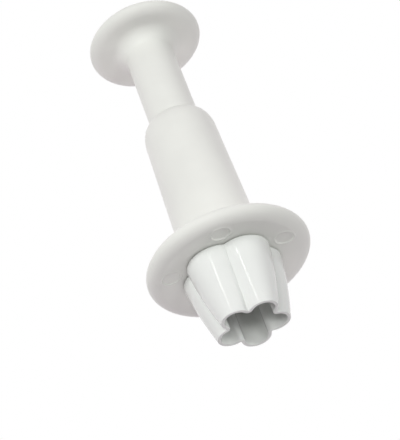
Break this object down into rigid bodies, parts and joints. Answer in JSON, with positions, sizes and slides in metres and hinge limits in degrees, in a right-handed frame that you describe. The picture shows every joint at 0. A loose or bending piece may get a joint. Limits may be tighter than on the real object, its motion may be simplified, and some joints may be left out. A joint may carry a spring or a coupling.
{
  "type": "plunger cutter",
  "caption": "Hand plunger cutter: a tapered petal-shaped sleeve under a round flange, with a sprung thumb plunger that pushes the cut blossom out.",
  "frame": {"origin": "middle of the cutter's mouth, in the plane of the cutting edge, on the plunger's axis", "axes": "+Z along the axis from the cutting edge to the thumb knob; -Y towards the tip of one petal, taken as the front"},
  "size_m": [0.03, 0.03, 0.0716],
  "materials": {
    "cutter_plastic": "polished white plastic",
    "housing_plastic": "satin white plastic",
    "spring_steel": "drawn stainless wire"
  },
  "bodies": {
    "housing": {"blossom_cutter": "cutter_plastic", "barrel_housing": "housing_plastic", "return_spring": "spring_steel"},
    "plunger": {"plunger_rod": "housing_plastic", "ejector_pad": "cutter_plastic", "thumb_knob": "housing_plastic"}
  },
  "joints": [
    {"name": "plunger_slide", "type": "slide", "parent": "housing", "child": "plunger", "axis": [0, 0, -1], "range_m": [0, 0.0105], "stiffness_N_per_m": 300, "springref_m": -0.006, "deforming": ["return_spring"]}
  ]
}
